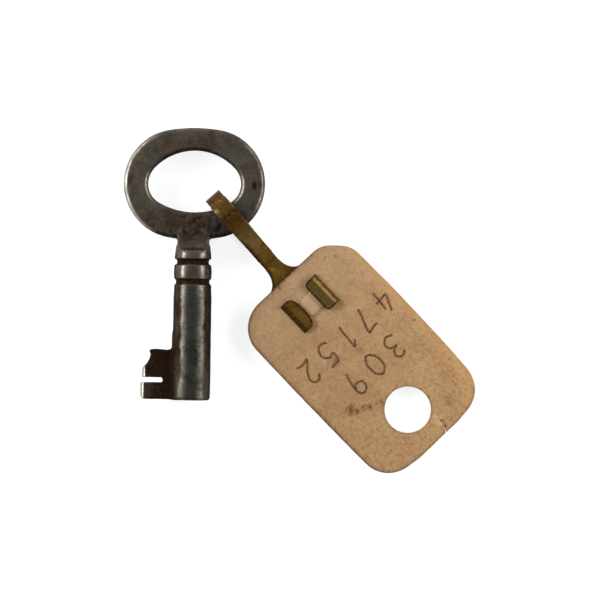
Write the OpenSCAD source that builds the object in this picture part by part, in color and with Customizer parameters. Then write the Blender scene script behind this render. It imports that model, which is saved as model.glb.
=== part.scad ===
// Furniture key of the barrel type, with a card tag held on its bow by a bent brass clip.
// The barrel lies along +Y with its mouth at the origin. The bow and the bit lie in the XY plane,
// and +Z points up from the table that the key lies on.

/* [Barrel] */
// Diameter of the barrel
barrel_d = 6.56; // [6.4:0.02:7]
// Diameter at the worn mouth
mouth_d = 6.4; // [5.8:0.02:6.4]
// Length of the taper towards the mouth
mouth_taper = 5; // [2:0.5:8]
// Round on the edge of the mouth
mouth_round = 0.55; // [0.3:0.05:0.8]
// Length of the barrel, from the mouth to the lower groove
barrel_len = 19.5; // [18.5:0.1:24]
// Diameter of the drilled hole for the lock's pin
bore_d = 3.8; // [3.4:0.1:4.2]
// Depth of the drilled hole, without its cone
bore_depth = 17; // [12:0.5:17]
// Point angle of the drill
drill_angle = 118; // [90:1:140]

/* [Collar and neck] */
// Diameter of the barrel at the lower groove
shoulder_d = 6.36; // [6:0.02:6.4]
// Width of the lower groove
lower_groove_w = 1.4; // [1:0.1:1.8]
// Depth of the lower groove
lower_groove_depth = 0.2; // [0.1:0.02:0.3]
// Diameter of the collar at its belly
collar_d = 6.52; // [6.46:0.02:7]
// Height of the collar between the grooves
collar_h = 2; // [1.6:0.1:3]
// Width of the upper groove
upper_groove_w = 1.4; // [1:0.1:1.8]
// Depth of the upper groove
upper_groove_depth = 0.38; // [0.2:0.02:0.5]
// Diameter of the bulb above the upper groove
bulb_d = 6.32; // [6:0.02:6.6]
// Height of the bulb, from the upper groove to the flat tongue
bulb_h = 1.9; // [1.6:0.1:2.6]
// Straight land at the foot of the bulb
bulb_land = 0.35; // [0.2:0.05:0.5]
// How far the dome of the bulb stands over its edge, seen from the side
dome_lift = 0.12; // [0.05:0.01:0.2]
// Radius of the bulb's swell, seen from above
bulb_swell_r = 5.2; // [4.6:0.1:7]
// Length of the tongue between the bulb and the bow
tongue_len = 1.4; // [1:0.1:2.4]
// Width of the tongue where it meets the bow
tongue_w = 5.4; // [4.8:0.1:5.8]
// Thickness of the tongue at the bulb
tongue_t = 2.8; // [2.5:0.1:3.1]

/* [Bow] */
// Width of the bow
bow_w = 24.24; // [23:0.1:30]
// Height of the bow
bow_h = 19.2; // [19:0.1:21]
// Radius of the bow's round ends
bow_end_r = 9.38; // [8.2:0.02:9.4]
// Thickness of the bow
bow_t = 2.4; // [2.2:0.1:2.6]
// Width of the eye
eye_w = 15.9; // [13:0.1:16.2]
// Height of the eye
eye_h = 10.6; // [9.6:0.1:11]
// Radius of the eye's round ends
eye_end_r = 3.4; // [2.4:0.1:3.8]
// How far the eye's middle lies above the bow's middle
eye_rise = 0.3; // [0:0.1:0.6]
// Round on the bow's edges
bow_round = 0.85; // [0.5:0.05:1]

/* [Bit] */
// Reach of the lower lobe from the barrel's axis
bit_reach = 8.73; // [8:0.05:10]
// How much shorter the upper lobe is
upper_lobe_step = 0.28; // [0.1:0.02:0.5]
// Reach of the step above the upper lobe
bit_step_reach = 7.2; // [6.2:0.05:7.4]
// Height of the bit
bit_h = 8.45; // [8:0.05:10]
// Gap between the mouth and the bit's lower edge
bit_rise = 0.2; // [0.1:0.05:0.6]
// Thickness of the bit
bit_t = 2.3; // [1.8:0.1:2.6]
// Height of the lower lobe
lower_lobe_h = 2.87; // [2.2:0.05:3.4]
// Width of the ward slot
slot_w = 0.86; // [0.6:0.02:1.2]
// Distance from the barrel's axis to the end of the ward slot
slot_end = 4.95; // [4.6:0.05:6]
// Round in the corners of the ward slot
slot_round = 0.28; // [0.1:0.02:0.29]
// Height of the upper lobe's straight edge
upper_lobe_h = 1.5; // [1:0.05:1.8]
// Height of the slope between the upper lobe and the step
slope_h = 1.5; // [1.2:0.05:1.8]
// Round on the lower outer corner
bit_corner_r = 0.85; // [0.4:0.05:1]
// Round on the bit's other outer corners
bit_small_r = 0.3; // [0.15:0.05:0.4]
// Round along the bit's outer edges
bit_edge_r = 0.7; // [0.4:0.05:0.85]
// Fillet between the bit and the barrel
root_fillet_r = 1; // [0.6:0.1:1.2]

/* [Brass clip] */
// Thickness of the brass sheet
brass_t = 0.5; // [0.4:0.05:0.6]
// Width of the strap
strap_w = 2.9; // [2.4:0.1:3.4]
// Outer height of the loop round the bow's rim
loop_h = 6.4; // [6:0.1:6.8]
// Straight run of the loop past its bend
loop_run = 2.8; // [2.4:0.1:3.6]
// Distance from the loop's end to the end of the folded-back tail
tail_len = 13.8; // [12.5:0.1:15]
// Distance from the loop's end to the clip's backing plate
strap_len = 18.58; // [18.2:0.02:22]
// Distance from the loop's end to the foot of the strap's slope
slope_end = 15.6; // [15:0.1:17]
// Middle radius of the bend at the top of the slope
crown_r = 5; // [4:0.5:6]
// Middle radius of the bend at the foot of the slope
foot_r = 3.5; // [2.5:0.5:4.5]
// Gap between the folded-back tail and the strap
tail_gap = 0.1; // [0.06:0.02:0.2]
// Direction of the strap, clockwise from +X
strap_angle = 48.2; // [47:0.1:49]
// How far the loop's end lies to the right of the eye's middle
loop_end_side = 3.38; // [3.2:0.01:3.5]
// How far the loop's end lies below the eye's middle
loop_end_drop = 2.48; // [2.3:0.01:2.6]
// Width of the backing plate over its folded ears
plate_w = 7.86; // [7.2:0.1:9]
// How far the plate starts inside the tag's near edge
plate_inset = 0.1; // [0:0.05:0.5]
// Length of the backing plate
plate_len = 10; // [9.6:0.1:12]
// Round on the plate's far corners
plate_corner_r = 0.8; // [0.4:0.1:1.2]
// Distance from the tag's near edge to the ears
ear_start = 3.05; // [2.8:0.05:3.2]
// Length of each ear along the tag
ear_len = 6.2; // [5:0.1:6.4]
// Inner radius of the ears' bends
ear_bend_r = 0.3; // [0.2:0.05:0.4]
// Reach of the right ear inwards from its outer side
right_ear_reach = 1.9; // [1.6:0.1:2.2]
// How far the right ear curls on past level
right_ear_curl = 24; // [10:1:30]
// Reach of the left ear inwards from its outer side
left_ear_reach = 2.75; // [2.4:0.05:3]
// Height of the round on the left ear's free edge
left_ear_bulge = 0.8; // [0.4:0.1:1]
// Straight side of the left ear below that round
ear_land = 0.3; // [0.2:0.05:0.4]
// Gap between the ears and the card under them
ear_gap = 0.05; // [0.03:0.01:0.1]

/* [Card tag] */
// Length of the tag
tag_len = 38.1; // [34:0.1:46]
// Width of the tag
tag_w = 23.9; // [20:0.1:28]
// Thickness of the card
tag_t = 0.85; // [0.7:0.05:1]
// Radius of the tag's corners
tag_corner_r = 5.5; // [3:0.1:7]
// Diameter of the punched hole
tag_hole_d = 8; // [6:0.1:9]
// Distance from the tag's far edge to the middle of the hole
hole_from_end = 7.18; // [6.4:0.01:9]
// Sideways offset of the hole from the tag's middle line
hole_offset = -0.33; // [-1:0.01:1]
// Direction of the tag, clockwise from +X
tag_angle = 45.65; // [44.5:0.05:47]
// Sideways shift of the tag on the clip
tag_shift = 0.12; // [-0.2:0.01:0.3]
// Clearance of the ears in their slots, on each side
slot_clear = 0.12; // [0.1:0.01:0.2]

/* [Hidden] */
$fn = 64;
// Overlap that joins solids of one piece
eps = 0.02;
// Steps round each bend of the strap's slope
bend_steps = 8;
// Points on each of the four arcs of the bow's outline and of the eye's
bow_steps = 16;
// Steps round each edge of the bow
round_steps = 3;
// Colours of the iron, the brass and the card
iron = [0.20, 0.18, 0.16];
brass = [0.45, 0.35, 0.18];
card = [0.72, 0.58, 0.42];

// Heights along the barrel
lower_groove_y = barrel_len + lower_groove_w / 2;
collar_y = barrel_len + lower_groove_w;
upper_groove_y = collar_y + collar_h + upper_groove_w / 2;
bulb_y = collar_y + collar_h + upper_groove_w;
tongue_y = bulb_y + bulb_h;
bow_bottom_y = tongue_y + tongue_len;
bow_y = bow_bottom_y + bow_h / 2;
eye_y = bow_y + eye_rise;

// The table touches the barrel from below, and the clip's folded-back tail lies on it
table_z = -barrel_d / 2;
loop_r = loop_h / 2;
loop_z = table_z + loop_r;
strap_z = table_z + brass_t + tail_gap;
tag_z = strap_z + brass_t;
tag_top_z = tag_z + tag_t;

// Radius of the long arcs of a four-centre oval with half axes a and b and end arcs of radius r
function long_arc_r(a, b, r) = ((a - r) * (a - r) + b * b - r * r) / (2 * (b - r));
// Radius of the circle through a chord of length w with a rise of h
function chord_r(w, h) = (w * w / 4 + h * h) / (2 * h);

// Points round a four-centre oval, with bow_steps points on each of its arcs
function oval_points(a, b, r) = let(
    long_r = long_arc_r(a, b, r),
    end_x = a - r,
    long_y = long_r - b,
    joint = atan2(long_y, end_x),
    end_step = 2 * joint / bow_steps,
    long_step = (180 - 2 * joint) / bow_steps
) concat(
    [for (i = [0:bow_steps - 1]) [end_x, 0] + r * direction(i * end_step - joint)],
    [for (i = [0:bow_steps - 1]) [0, -long_y] + long_r * direction(joint + i * long_step)],
    [for (i = [0:bow_steps - 1]) [-end_x, 0] + r * direction(180 - joint + i * end_step)],
    [for (i = [0:bow_steps - 1]) [0, long_y] + long_r * direction(180 + joint + i * long_step)]
);
function direction(angle) = [cos(angle), sin(angle)];

// The bow's outline drawn in by inset, and the eye's outline let out by inset
function bow_points(inset) = oval_points(bow_w / 2 - inset, bow_h / 2 - inset, bow_end_r - inset);
function eye_points(inset) = [
    for (p = oval_points(eye_w / 2 + inset, eye_h / 2 + inset, eye_end_r + inset)) p + [0, eye_rise]
];

// Waste outside a round on a corner that points to +X and +Y and lies at the origin
module corner_waste(r) {
    difference() {
        translate([-r, -r])
            square(r + 1);
        translate([-r, -r])
            circle(r);
    }
}

// Half section of the shank, with the radius along X and the height along Y
module shank_section() {
    r = barrel_d / 2;
    mouth_r = mouth_d / 2;
    shoulder_r = shoulder_d / 2;
    belly_r = collar_d / 2;
    bulb_r = bulb_d / 2;
    collar_arc_r = chord_r(collar_h, belly_r - shoulder_r);
    lower_r = chord_r(lower_groove_w, lower_groove_depth);
    upper_r = chord_r(upper_groove_w, upper_groove_depth);
    bow_end_y = bow_bottom_y + 2 * bow_round;
    difference() {
        union() {
            polygon([
                [0, 0], [mouth_r - mouth_round, 0], [mouth_r, mouth_round], [r, mouth_taper],
                [r, barrel_len - 2], [shoulder_r, barrel_len], [shoulder_r, bulb_y], [0, bulb_y]
            ]);
            translate([mouth_r - mouth_round, mouth_round])
                circle(mouth_round);
            intersection() {
                translate([belly_r - collar_arc_r, collar_y + collar_h / 2])
                    circle(collar_arc_r);
                translate([0, collar_y])
                    square([belly_r, collar_h]);
            }
            intersection() {
                translate([bulb_r - bulb_swell_r, bulb_y + bulb_land])
                    circle(bulb_swell_r);
                translate([0, bulb_y - eps])
                    square([bulb_r, bulb_h]);
            }
            polygon([
                [0, bulb_y], [tongue_w / 2 + 0.2, tongue_y - bulb_land], [tongue_w / 2, bow_bottom_y],
                [tongue_w / 2, bow_end_y], [0, bow_end_y]
            ]);
        }
        translate([shoulder_r - lower_groove_depth + lower_r, lower_groove_y])
            circle(lower_r);
        translate([shoulder_r - upper_groove_depth + upper_r, upper_groove_y])
            circle(upper_r);
    }
}

// Side outline of the shank, with Y along X and Z along Y: full width up to the bulb, whose dome
// comes down to the flat tongue
module shank_side() {
    dome_r = bulb_h - bulb_land;
    dome_z = bulb_d / 2 + dome_lift - dome_r;
    bow_end_y = bow_bottom_y + 2 * bow_round;
    translate([-1, -barrel_d])
        square([bulb_y + bulb_land + 1, 2 * barrel_d]);
    for (side = [-1, 1])
        translate([bulb_y + bulb_land, side * dome_z])
            circle(dome_r);
    translate([bulb_y, -dome_z])
        square([bulb_h, 2 * dome_z]);
    polygon([
        [bulb_y, -tongue_t / 2], [tongue_y, -tongue_t / 2], [bow_end_y, eps - bow_t / 2],
        [bow_end_y, bow_t / 2 - eps], [tongue_y, tongue_t / 2], [bulb_y, tongue_t / 2]
    ]);
}

module shank() {
    intersection() {
        rotate([-90, 0, 0])
            rotate_extrude()
                shank_section();
        rotate([90, 0, 90])
            linear_extrude(2 * barrel_d, center = true)
                shank_side();
    }
}

// The bow is a ring between two ovals. Its section runs from the outer edge's lower round over the
// upper one, and back down the eye's two rounds.
module bow() {
    steps = [for (i = [0:round_steps]) i * 90 / round_steps];
    back = [for (i = [round_steps:-1:0]) i * 90 / round_steps];
    rings = concat(
        [for (a = back) raised(bow_points(bow_round * (1 - cos(a))), -edge_height(a))],
        [for (a = steps) raised(bow_points(bow_round * (1 - cos(a))), edge_height(a))],
        [for (a = back) raised(eye_points(bow_round * (1 - cos(a))), edge_height(a))],
        [for (a = steps) raised(eye_points(bow_round * (1 - cos(a))), -edge_height(a))]
    );
    count = len(rings);
    size = 4 * bow_steps;
    translate([0, bow_y, 0])
        polyhedron(
            points = [for (ring = rings) for (p = ring) p],
            faces = [
                for (j = [0:count - 1]) for (i = [0:size - 1]) for (half = [0, 1]) let(
                    next_j = (j + 1) % count,
                    next_i = (i + 1) % size
                ) half == 0
                    ? [j * size + i, next_j * size + i, next_j * size + next_i]
                    : [j * size + i, next_j * size + next_i, j * size + next_i]
            ],
            convexity = 4
        );
}

// Height of a point on the bow's rounded edge, at this angle from the edge's wall
function edge_height(angle) = bow_t / 2 - bow_round * (1 - sin(angle));
function raised(outline, z) = [for (p = outline) [p.x, p.y, z]];

// Outline of the bit, with its reach along X and its height along Y
module bit_outline() {
    slot_top = lower_lobe_h + slot_w;
    lobe_top = slot_top + upper_lobe_h;
    upper_reach = bit_reach - upper_lobe_step;
    difference() {
        polygon([
            [0, 0], [bit_reach, 0], [bit_reach, slot_top - slot_w / 2], [upper_reach, slot_top - slot_w / 2],
            [upper_reach, lobe_top], [bit_step_reach, lobe_top + slope_h], [bit_step_reach, bit_h], [0, bit_h]
        ]);
        translate([bit_reach, 0])
            mirror([0, 1])
                corner_waste(bit_corner_r);
        translate([bit_reach, lower_lobe_h])
            corner_waste(bit_small_r);
        translate([bit_step_reach, bit_h])
            corner_waste(bit_small_r);
        ward_slot();
    }
}

module ward_slot() {
    translate([slot_end + slot_round, lower_lobe_h])
        square([bit_reach, slot_w]);
    translate([slot_end, lower_lobe_h + slot_round])
        square([bit_reach, slot_w - 2 * slot_round]);
    for (y = [slot_round, slot_w - slot_round])
        translate([slot_end + slot_round, lower_lobe_h + y])
            circle(slot_round);
}

// Waste along both edges of the bit's outer face, between two heights
module edge_waste(reach, y0, y1) {
    for (flip = [0, 1])
        mirror([0, 0, flip])
            translate([reach, y1, bit_t / 2])
                rotate([90, 0, 0])
                    linear_extrude(y1 - y0)
                        corner_waste(bit_edge_r);
}

// Fillets that blend the bit's root into the barrel
module root_fillet() {
    reach = barrel_d / 2 + root_fillet_r - eps;
    fillet_z = bit_t / 2 + root_fillet_r;
    fillet_x = sqrt(reach * reach - fillet_z * fillet_z);
    touch = (barrel_d / 2 - eps) / reach;
    rotate([90, 0, 0])
        linear_extrude(bit_h, center = true)
            difference() {
                polygon([
                    [0, 0], [fillet_x * touch, fillet_z * touch], [fillet_x, bit_t / 2],
                    [fillet_x, -bit_t / 2], [fillet_x * touch, -fillet_z * touch]
                ]);
                for (side = [-1, 1])
                    translate([fillet_x, side * fillet_z])
                        circle(root_fillet_r);
            }
}

module bit() {
    slot_mid = lower_lobe_h + slot_w / 2;
    mirror([1, 0, 0])
        translate([0, bit_rise, 0]) {
            difference() {
                linear_extrude(bit_t, center = true)
                    bit_outline();
                edge_waste(bit_reach, -1, slot_mid);
                edge_waste(bit_reach - upper_lobe_step, slot_mid, bit_h + 1);
            }
            translate([0, bit_h / 2, 0])
                root_fillet();
        }
}

module pin_bore() {
    r = bore_d / 2;
    cone_h = r / tan(drill_angle / 2);
    rotate([-90, 0, 0])
        rotate_extrude()
            polygon([[0, -1], [r, -1], [r, bore_depth], [0, bore_depth + cone_h]]);
}

module key() {
    color(iron)
        difference() {
            union() {
                shank();
                bow();
                bit();
            }
            pin_bore();
        }
}

// Places its children on the strap, with the loop's end at the origin and the strap along +X
module on_strap() {
    translate([loop_end_side, eye_y - loop_end_drop, 0])
        rotate([0, 0, -strap_angle])
            children();
}

// Places its children on the clip's plate, with the tag's near edge at the origin
module on_plate() {
    on_strap()
        translate([strap_len, 0, 0])
            rotate([0, 0, strap_angle - tag_angle])
                children();
}

// Sheet bent round the origin between two angles, with its middle at radius r
module sheet_bend(r, a0, a1) {
    far = 2 * r / cos((a1 - a0) / 4);
    mid = (a0 + a1) / 2;
    intersection() {
        difference() {
            circle(r + brass_t / 2);
            circle(r - brass_t / 2);
        }
        polygon([
            [0, 0], far * [cos(a0), sin(a0)], far * [cos((a0 + mid) / 2), sin((a0 + mid) / 2)],
            far * [cos(mid), sin(mid)], far * [cos((a1 + mid) / 2), sin((a1 + mid) / 2)],
            far * [cos(a1), sin(a1)]
        ]);
    }
}

// Side view of the strap, with its length along X and Z along Y: the loop's bend, the tail under
// it, and the run over the rim, which slopes down between two bends to the flat end
module strap_side() {
    half_t = brass_t / 2;
    top_z = table_z + loop_h - half_t;
    low_z = strap_z + half_t;
    crown_c = [loop_r + loop_run, top_z - crown_r];
    foot_c = [slope_end, low_z + foot_r];
    both_r = crown_r + foot_r;
    between = foot_c - crown_c;
    slope_len = sqrt(between * between - both_r * both_r);
    slope_angle = atan2(both_r, slope_len) - atan2(between.y, between.x);
    steps = [for (i = [0:bend_steps]) slope_angle * i / bend_steps];
    back = [for (i = [bend_steps:-1:0]) slope_angle * i / bend_steps];
    end_x = strap_len + plate_w / 2;
    translate([loop_r, loop_z])
        sheet_bend(loop_r - half_t, 90, 270);
    translate([loop_r - eps, table_z])
        square([tail_len - loop_r + eps, brass_t]);
    polygon(concat(
        [[loop_r - eps, top_z + half_t]],
        [for (a = steps) crown_c + (crown_r + half_t) * direction(90 - a)],
        [for (a = back) foot_c + (foot_r - half_t) * direction(270 - a)],
        [[end_x, low_z + half_t], [end_x, low_z - half_t]],
        [for (a = steps) foot_c + (foot_r + half_t) * direction(270 - a)],
        [for (a = back) crown_c + (crown_r - half_t) * direction(90 - a)],
        [[loop_r - eps, top_z - half_t]]
    ));
}

// Outline of the flare and the backing plate, in the plate's frame
module plate_outline() {
    flare_r = (plate_w - strap_w) / 2;
    flat_w = plate_w - 2 * (ear_bend_r + brass_t);
    end_x = plate_inset + plate_len;
    difference() {
        translate([plate_inset - flare_r, -plate_w / 2])
            square([flare_r + plate_len, plate_w]);
        for (side = [-1, 1])
            translate([plate_inset - flare_r, side * plate_w / 2])
                circle(flare_r);
        for (flip = [0, 1])
            mirror([0, flip]) {
                translate([end_x, plate_w / 2])
                    corner_waste(plate_corner_r);
                translate([ear_start, flat_w / 2])
                    square([ear_len, plate_w]);
            }
    }
}

// Side view of an ear, from the plate up through the card and inwards over it: its bend is at
// X = outer, and it reaches inwards by reach with its free end turned down by curl
module ear_side(outer, reach, curl) {
    mid_r = ear_bend_r + brass_t / 2;
    out_r = ear_bend_r + brass_t;
    bend_x = outer - out_r;
    flat_len = (reach - out_r) / cos(curl);
    rise = flat_len * sin(curl);
    top_z = tag_top_z + ear_gap - ear_bend_r + rise;
    translate([bend_x - eps, strap_z])
        square([2 * eps, brass_t]);
    translate([bend_x, strap_z + out_r])
        sheet_bend(mid_r, 270, 360);
    translate([outer - brass_t, strap_z + out_r - eps])
        square([brass_t, top_z - strap_z - out_r + 2 * eps]);
    translate([bend_x, top_z])
        sheet_bend(mid_r, 0, 90 + curl);
    translate([bend_x, top_z])
        rotate([0, 0, curl])
            translate([-flat_len, ear_bend_r])
                square([flat_len + eps, brass_t]);
}

// An ear drawn to its length along the plate
module ear_sheet(outer, reach, curl) {
    translate([ear_start + ear_len, 0, 0])
        rotate([90, 0, -90])
            linear_extrude(ear_len)
                ear_side(outer, reach, curl);
}

module right_ear() {
    mirror([0, 1, 0])
        ear_sheet(plate_w / 2, right_ear_reach, right_ear_curl);
}

// The left ear's free edge is an arc
module left_ear() {
    edge_r = chord_r(ear_len, left_ear_bulge);
    outer = plate_w / 2;
    full_reach = left_ear_reach - left_ear_bulge - ear_land;
    difference() {
        ear_sheet(outer, left_ear_reach, 0);
        difference() {
            translate([ear_start - eps, full_reach - outer, tag_z])
                cube([ear_len + 2 * eps, outer, brass_t + 2 * tag_t]);
            translate([ear_start + ear_len / 2, left_ear_reach - outer - edge_r, tag_z - eps])
                cylinder(h = brass_t + 2 * tag_t + 2 * eps, r = edge_r);
        }
    }
}

module tag_clip() {
    color(brass) {
        on_strap()
            rotate([90, 0, 0])
                linear_extrude(strap_w, center = true)
                    strap_side();
        on_plate() {
            translate([0, 0, strap_z])
                linear_extrude(brass_t)
                    plate_outline();
            right_ear();
            left_ear();
        }
    }
}

module tag_outline() {
    r = tag_corner_r;
    translate([r, -tag_w / 2])
        square([tag_len - 2 * r, tag_w]);
    translate([0, r - tag_w / 2])
        square([tag_len, tag_w - 2 * r]);
    for (x = [r, tag_len - r], side = [-1, 1])
        translate([x, side * (tag_w / 2 - r)])
            circle(r);
}

// Slots that the clip's ears pass through
module ear_slots() {
    slot_in = plate_w / 2 - ear_bend_r - brass_t - slot_clear;
    for (flip = [0, 1])
        mirror([0, flip])
            translate([ear_start - slot_clear, slot_in])
                square([ear_len + 2 * slot_clear, plate_w / 2 + slot_clear - slot_in]);
}

module tag() {
    color(card)
        on_plate()
            difference() {
                translate([0, 0, tag_z])
                    linear_extrude(tag_t)
                        difference() {
                            translate([0, tag_shift])
                                tag_outline();
                            ear_slots();
                        }
                translate([tag_len - hole_from_end, tag_shift + hole_offset, tag_z - 1])
                    cylinder(h = tag_t + 2, d = tag_hole_d);
            }
}

key();
tag_clip();
tag();
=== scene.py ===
import math
from functools import partial

import bpy
import numpy as np
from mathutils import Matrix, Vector, noise
from mathutils.geometry import delaunay_2d_cdt


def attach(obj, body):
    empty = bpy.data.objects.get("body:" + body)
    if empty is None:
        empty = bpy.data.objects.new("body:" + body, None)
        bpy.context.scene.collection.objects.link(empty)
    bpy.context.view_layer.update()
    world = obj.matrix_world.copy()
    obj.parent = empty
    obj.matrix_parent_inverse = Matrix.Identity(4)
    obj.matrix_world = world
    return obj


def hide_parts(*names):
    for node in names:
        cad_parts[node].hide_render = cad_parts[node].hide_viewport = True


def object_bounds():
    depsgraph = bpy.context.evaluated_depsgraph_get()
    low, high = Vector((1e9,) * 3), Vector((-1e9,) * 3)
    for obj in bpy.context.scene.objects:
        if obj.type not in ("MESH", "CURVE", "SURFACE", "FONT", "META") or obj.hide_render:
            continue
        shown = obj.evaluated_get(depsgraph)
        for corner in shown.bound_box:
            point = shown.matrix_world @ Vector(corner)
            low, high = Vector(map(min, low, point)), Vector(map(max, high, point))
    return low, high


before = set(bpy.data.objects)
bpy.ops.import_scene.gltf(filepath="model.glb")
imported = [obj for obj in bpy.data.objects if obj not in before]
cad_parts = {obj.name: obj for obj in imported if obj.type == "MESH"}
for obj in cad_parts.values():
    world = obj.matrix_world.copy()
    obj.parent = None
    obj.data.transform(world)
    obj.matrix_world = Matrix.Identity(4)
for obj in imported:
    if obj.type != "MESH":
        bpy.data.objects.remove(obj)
cadLow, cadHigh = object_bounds()
scene = bpy.context.scene
mm = 0.001


# small helpers

def fromHex(code):
    parts = [int(code[i:i + 2], 16) / 255 for i in (1, 3, 5)]
    return tuple(c / 12.92 if c <= 0.04045 else ((c + 0.055) / 1.055) ** 2.4 for c in parts) + (1.0,)


def addNode(tree, kind, inputs=(), out=0, **settings):      # a node with its settings, values and links
    node = tree.nodes.new(kind)
    for name, value in settings.items():
        setattr(node, name, value)
    for socket, value in inputs.items() if isinstance(inputs, dict) else enumerate(inputs):
        if isinstance(value, bpy.types.NodeSocket):
            tree.links.new(value, node.inputs[socket])
        else:
            node.inputs[socket].default_value = value
    return node.outputs[out] if node.outputs else node


# sums of a Math node, each held between 0 and 1
times, plus, less, larger = (dict(operation=way, use_clamp=True)
                             for way in ("MULTIPLY", "ADD", "SUBTRACT", "MAXIMUM"))


def smoothStep(low, high, x):
    t = np.clip((x - low) / (high - low), 0, 1)
    return t * t * (3 - 2 * t)


def bell(x, middle, half):          # 1 at the middle, falling off to either side
    return np.exp(-((x - middle) / half) ** 2)


def smoothMin(a, b, blend):
    h = np.clip(0.5 + 0.5 * (b - a) / blend, 0, 1)
    return b * (1 - h) + a * h - blend * h * (1 - h)


def smoothMax(a, b, blend):
    return -smoothMin(-a, -b, blend)


def lumps(points, size, seed):      # smooth noise with features of this size in mm, from -1 to 1
    shift = Vector((seed * 17.3, seed * 5.1, seed * 29.7))
    return np.array([noise.noise(Vector(p) / size + shift) for p in points])


def makePiece(name, points, faces, material):
    mesh = bpy.data.meshes.new(name)
    mesh.from_pydata((np.asarray(points) * mm).tolist(), [], faces)
    mesh.materials.append(material)
    mesh.polygons.foreach_set("use_smooth", [True] * len(mesh.polygons))
    mesh.update()
    piece = bpy.data.objects.new(name, mesh)
    scene.collection.objects.link(piece)
    return piece


def setAttribute(piece, name, values):
    attribute = piece.data.attributes.new(name, "FLOAT", "POINT")
    attribute.data.foreach_set("value", np.asarray(values, np.float32))


def applyModifiers(piece):
    evaluated = piece.evaluated_get(bpy.context.evaluated_depsgraph_get())
    mesh = bpy.data.meshes.new_from_object(evaluated)
    piece.modifiers.clear()
    piece.data = mesh


def thickenSheet(piece, thick, edge, angle, bent):      # a sheet given its thickness and its worn edges
    solid = piece.modifiers.new("sheet", "SOLIDIFY")
    solid.thickness, solid.offset, solid.use_even_offset = thick * mm, 0, bent
    bevel = piece.modifiers.new("edge", "BEVEL")
    bevel.width, bevel.segments, bevel.limit_method = edge * mm, 2, "ANGLE"
    bevel.angle_limit = math.radians(angle)
    piece.modifiers.new("flat faces", "WEIGHTED_NORMAL").keep_sharp = bent
    applyModifiers(piece)


def pointsOf(mesh):
    points = np.zeros(len(mesh.vertices) * 3)
    mesh.vertices.foreach_get("co", points)
    return points.reshape(-1, 3) / mm


# The camera looks straight down, with the key leaning a little as it lies

cameraSetup = dict(centre=(18.43, 17.52), height=640, width=102.96, turn=0.8)


def makeCamera(setup):
    data = bpy.data.cameras.new("camera")
    data.sensor_width = 36
    data.lens = 36 * setup["height"] / setup["width"]
    data.clip_start, data.clip_end = 0.01, 20
    camera = bpy.data.objects.new("camera", data)
    x, y = setup["centre"]
    camera.location = (x * mm, y * mm, setup["height"] * mm)
    camera.rotation_euler = (0, 0, math.radians(setup["turn"]))
    scene.collection.objects.link(camera)
    scene.camera = camera


makeCamera(cameraSetup)
print("camera made")


# Materials

def startMaterial(name):
    material = bpy.data.materials.new(name)
    material.use_nodes = True
    material.node_tree.nodes.clear()
    return material, partial(addNode, material.node_tree)


def grainInputs(place, size, detail, rough, warp=0.0):      # of a noise whose features are this size in mm
    return {"Vector": place, "Scale": 1 / (size * mm), "Detail": detail, "Roughness": rough, "Distortion": warp}


# Malleable iron, turned and filed, worn in pockets and browned: a dark steel grey with a soft broken shine,
# brighter where it rubs and in painted highlights, brown oxide in patches, nearly black in the hollows and in painted
# shade, with fine pits
ironFinish = dict(
    # the lightest colour here paints a highlight along the bow's left edge
    bright="#6f685d", dark="#484740", rubbed="#6d6b61", painted_edge_highlight="#a6a297", brown="#402819", deep="#190f08",
    noises=dict(        # feature size in mm, detail, roughness and warp
        patches=(3.2, 4.0, 0.6, 0.4), grain=(0.5, 3.0, 0.65, 0.0), pits=(0.17, 1.5, 0.55, 0.0),
        specks=(0.34, 2.0, 0.6, 0.5), cloud=(2.4, 3.0, 0.6, 0.5), turning=(0.24, 2.0, 0.6, 0.0)),
    aroundShank=(0.2, 1, 0.2), grainDepth=0.05, pitDepth=0.02, gloss=0.05,
)


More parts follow.
